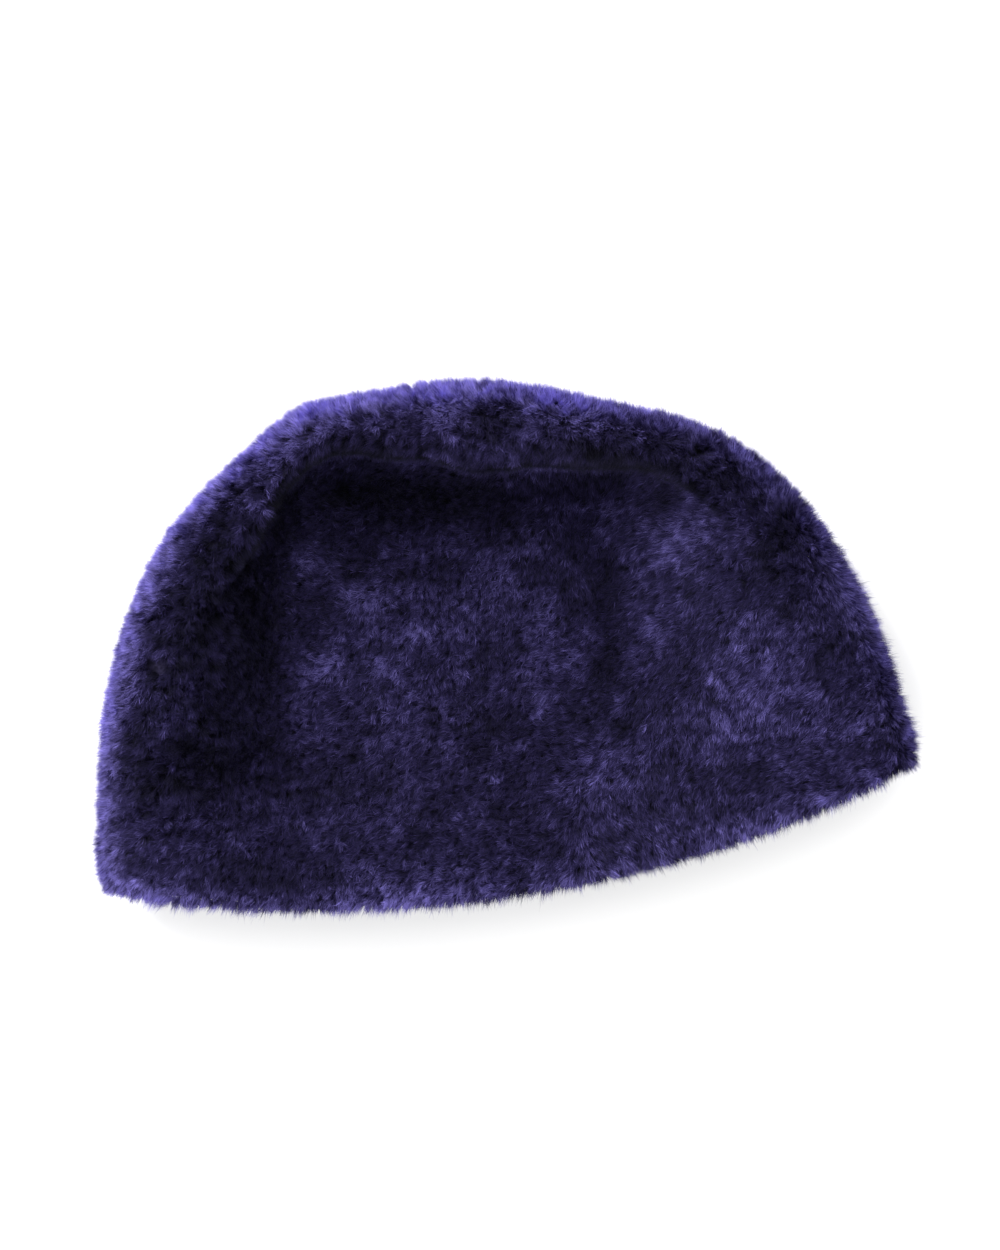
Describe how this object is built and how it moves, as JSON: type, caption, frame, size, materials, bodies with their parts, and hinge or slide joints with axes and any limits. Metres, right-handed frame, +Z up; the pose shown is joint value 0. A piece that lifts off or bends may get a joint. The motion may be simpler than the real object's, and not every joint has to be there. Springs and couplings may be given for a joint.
{
  "type": "fur hat",
  "caption": "Soft violet sheepskin hat lying on its back, its front sunk in under the thick roll of the crown, with a fur hem round the open rim.",
  "frame": {"origin": "middle of the ground that the lying hat covers", "axes": "+X across the hat, along its flattened rim; +Y from the rim to the crown; +Z up from the surface that it lies on"},
  "size_m": [0.3008, 0.1892, 0.0615],
  "materials": {
    "violet_fur": "soft sheared fur pile"
  },
  "bodies": {
    "root": {"crown": "violet_fur", "side_band": "violet_fur", "hem": "violet_fur"}
  },
  "joints": []
}
